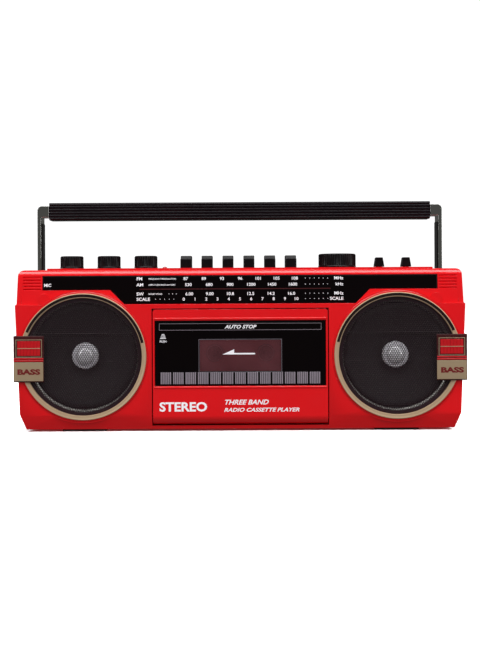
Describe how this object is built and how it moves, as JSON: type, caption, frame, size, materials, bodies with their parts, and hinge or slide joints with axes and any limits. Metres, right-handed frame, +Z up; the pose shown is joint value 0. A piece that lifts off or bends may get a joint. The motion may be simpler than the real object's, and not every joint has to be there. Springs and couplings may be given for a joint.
{
  "type": "cassette player",
  "caption": "Portable red radio-cassette player with two round speakers, dial, front cassette door, top keys and knobs, folding handle and telescopic aerial.",
  "frame": {"origin": "on the ground under the middle of the player's box, with the handle upright", "axes": "+Z up, the front with dial and cassette door faces -Y, +X is the player's right-hand end seen from the front"},
  "size_m": [0.368, 0.097, 0.1903],
  "materials": {
    "red_cabinet": "glossy moulded red",
    "rear_plastic": "fine textured black",
    "dial_gloss": "polished black with printed scales",
    "gold_trim": "satin champagne gold",
    "grille": "black perforated sheet",
    "steel_parts": "plated steel",
    "speaker_paper": "pressed paper with a metallised dust cap",
    "board": "lacquered circuit board",
    "dark_plastic": "moulded dark grey",
    "ferrite": "sintered",
    "copper_winding": "enamelled winding",
    "lamp_lens": "clear red",
    "rubber_parts": "matt rubber",
    "chrome_bail": "bright chrome",
    "control_black": "satin black",
    "window_clear": "smoked clear with printed scales"
  },
  "bodies": {
    "cabinet": {"front_cabinet": "red_cabinet", "rear_cabinet": "rear_plastic", "dial_lens": "dial_gloss", "speaker_ring_left": "gold_trim", "speaker_ring_right": "gold_trim", "speaker_grille_left": "grille", "speaker_grille_right": "grille", "speaker_frame_left": "steel_parts", "speaker_frame_right": "steel_parts", "speaker_cone_left": "speaker_paper", "speaker_cone_right": "speaker_paper", "bass_badge_left": "gold_trim", "bass_badge_right": "gold_trim", "deck_chassis": "steel_parts", "deck_motor": "steel_parts", "main_board": "board", "tuning_capacitor": "dark_plastic", "ferrite_rod": "ferrite", "mains_transformer": "copper_winding", "mains_inlet": "dark_plastic", "headphone_socket": "dark_plastic", "power_lamp": "lamp_lens", "foot_left": "rubber_parts", "foot_right": "rubber_parts", "case_screw_1": "steel_parts", "case_screw_2": "steel_parts", "case_screw_3": "steel_parts", "case_screw_4": "steel_parts", "handle_pivot_left": "steel_parts", "handle_pivot_right": "steel_parts", "drive_belt": "rubber_parts"},
    "handle": {"handle_bar": "chrome_bail", "handle_grip": "rear_plastic"},
    "volume_control": {"volume_knob": "control_black"},
    "tone_control": {"tone_knob": "control_black"},
    "balance_control": {"balance_knob": "control_black"},
    "tuning_control": {"tuning_knob": "control_black"},
    "pointer": {"dial_pointer": "lamp_lens"},
    "band_slider": {"band_switch": "control_black"},
    "function_slider": {"function_switch": "control_black"},
    "door": {"cassette_door": "red_cabinet", "door_window": "window_clear", "cassette_holder": "dark_plastic"},
    "head_plate": {"tape_head": "steel_parts"},
    "pinch": {"pinch_roller": "rubber_parts"},
    "supply_reel": {"supply_spindle": "dark_plastic"},
    "take_up_reel": {"take_up_spindle": "dark_plastic"},
    "capstan_wheel": {"flywheel": "steel_parts"},
    "motor_shaft": {"motor_pulley": "steel_parts"},
    "battery_cover": {"battery_door": "rear_plastic"},
    "aerial_foot": {"aerial_swivel": "chrome_bail"},
    "aerial_outer": {"aerial_tube_outer": "chrome_bail"},
    "aerial_middle": {"aerial_tube_middle": "chrome_bail"},
    "aerial_end": {"aerial_tip": "chrome_bail"},
    "record_lever": {"record_key": "control_black"},
    "play_lever": {"play_key": "control_black"},
    "rewind_lever": {"rewind_key": "control_black"},
    "forward_lever": {"forward_key": "control_black"},
    "stop_lever": {"stop_key": "control_black"},
    "pause_lever": {"pause_key": "control_black"}
  },
  "joints": [
    {"name": "handle_fold", "type": "hinge", "parent": "cabinet", "child": "handle", "pos_m": [0, 0.0115, 0.097], "axis": [-1, 0, 0], "range_deg": [0, 90]},
    {"name": "volume_turn", "type": "hinge", "parent": "cabinet", "child": "volume_control", "pos_m": [-0.1402, -0.02, 0.1333], "axis": [0, 0, -1], "range_deg": [-140, 140]},
    {"name": "tone_turn", "type": "hinge", "parent": "cabinet", "child": "tone_control", "pos_m": [-0.1092, -0.02, 0.1333], "axis": [0, 0, -1], "range_deg": [-140, 140]},
    {"name": "balance_turn", "type": "hinge", "parent": "cabinet", "child": "balance_control", "pos_m": [-0.0784, -0.02, 0.1333], "axis": [0, 0, -1], "range_deg": [-140, 140]},
    {"name": "tuning_turn", "type": "hinge", "parent": "cabinet", "child": "tuning_control", "pos_m": [0.0812, -0.02, 0.1333], "axis": [0, 0, -1], "range_deg": [0, 900]},
    {"name": "pointer_slide", "type": "slide", "parent": "cabinet", "child": "pointer", "axis": [-1, 0, 0], "range_m": [0, 0.087]},
    {"name": "record_press", "type": "slide", "parent": "cabinet", "child": "record_lever", "axis": [0, 0, -1], "range_m": [0, 0.005], "stiffness_N_per_m": 250, "springref_m": -0.003},
    {"name": "play_press", "type": "slide", "parent": "cabinet", "child": "play_lever", "axis": [0, 0, -1], "range_m": [0, 0.005], "stiffness_N_per_m": 250, "springref_m": -0.003},
    {"name": "rewind_press", "type": "slide", "parent": "cabinet", "child": "rewind_lever", "axis": [0, 0, -1], "range_m": [0, 0.005], "stiffness_N_per_m": 250, "springref_m": -0.003},
    {"name": "forward_press", "type": "slide", "parent": "cabinet", "child": "forward_lever", "axis": [0, 0, -1], "range_m": [0, 0.005], "stiffness_N_per_m": 250, "springref_m": -0.003},
    {"name": "stop_press", "type": "slide", "parent": "cabinet", "child": "stop_lever", "axis": [0, 0, -1], "range_m": [0, 0.005], "stiffness_N_per_m": 250, "springref_m": -0.003},
    {"name": "pause_press", "type": "slide", "parent": "cabinet", "child": "pause_lever", "axis": [0, 0, -1], "range_m": [0, 0.005], "stiffness_N_per_m": 250, "springref_m": -0.003},
    {"name": "head_slide", "type": "slide", "parent": "cabinet", "child": "head_plate", "axis": [0, 0, -1], "range_m": [0, 0.008]},
    {"name": "pinch_spin", "type": "hinge", "parent": "head_plate", "child": "pinch", "pos_m": [-0.03, -0.0338, 0.1039], "axis": [0, 1, 0], "continuous": true},
    {"name": "band_slide", "type": "slide", "parent": "cabinet", "child": "band_slider", "axis": [0, 1, 0], "range_m": [-0.004, 0.004]},
    {"name": "function_slide", "type": "slide", "parent": "cabinet", "child": "function_slider", "axis": [0, 1, 0], "range_m": [-0.004, 0.004]},
    {"name": "door_open", "type": "hinge", "parent": "cabinet", "child": "door", "pos_m": [0, -0.038, 0.013], "axis": [1, 0, 0], "range_deg": [0, 32]},
    {"name": "supply_spin", "type": "hinge", "parent": "cabinet", "child": "supply_reel", "pos_m": [0.02125, -0.0243, 0.0627], "axis": [0, 1, 0], "continuous": true},
    {"name": "flywheel_spin", "type": "hinge", "parent": "cabinet", "child": "capstan_wheel", "pos_m": [-0.03, 0.0025, 0.088], "axis": [0, 1, 0], "continuous": true},
    {"name": "take_up_spin", "type": "hinge", "parent": "cabinet", "child": "take_up_reel", "pos_m": [-0.02125, -0.0243, 0.0627], "axis": [0, 1, 0], "continuous": true},
    {"name": "motor_spin", "type": "hinge", "parent": "cabinet", "child": "motor_shaft", "pos_m": [0.045, 0.0025, 0.04], "axis": [0, 1, 0], "continuous": true},
    {"name": "battery_door_open", "type": "hinge", "parent": "cabinet", "child": "battery_cover", "pos_m": [-0.067, 0.0482, 0.0096], "axis": [-1, 0, 0], "range_deg": [0, 90]},
    {"name": "aerial_swivel_turn", "type": "hinge", "parent": "cabinet", "child": "aerial_foot", "pos_m": [0.152, 0.03925, 0.1282], "axis": [0, 0, -1], "range_deg": [0, 180]},
    {"name": "aerial_tilt", "type": "hinge", "parent": "aerial_foot", "child": "aerial_outer", "pos_m": [0.152, 0.03925, 0.1282], "axis": [0, 1, 0], "range_deg": [0, 90]},
    {"name": "aerial_middle_slide", "type": "slide", "parent": "aerial_outer", "child": "aerial_middle", "axis": [-1, 0, 0], "range_m": [0, 0.23]},
    {"name": "aerial_tip_slide", "type": "slide", "parent": "aerial_middle", "child": "aerial_end", "axis": [-1, 0, 0], "range_m": [0, 0.23]}
  ],
  "couplings": [
    {"joint": "pointer_slide", "follows": "tuning_turn", "m_per_rad": 0.0055},
    {"joint": "head_slide", "follows": "play_press", "ratio": 1.6},
    {"joint": "take_up_spin", "follows": "flywheel_spin", "ratio": 0.1},
    {"joint": "motor_spin", "follows": "flywheel_spin", "ratio": 4.8}
  ]
}
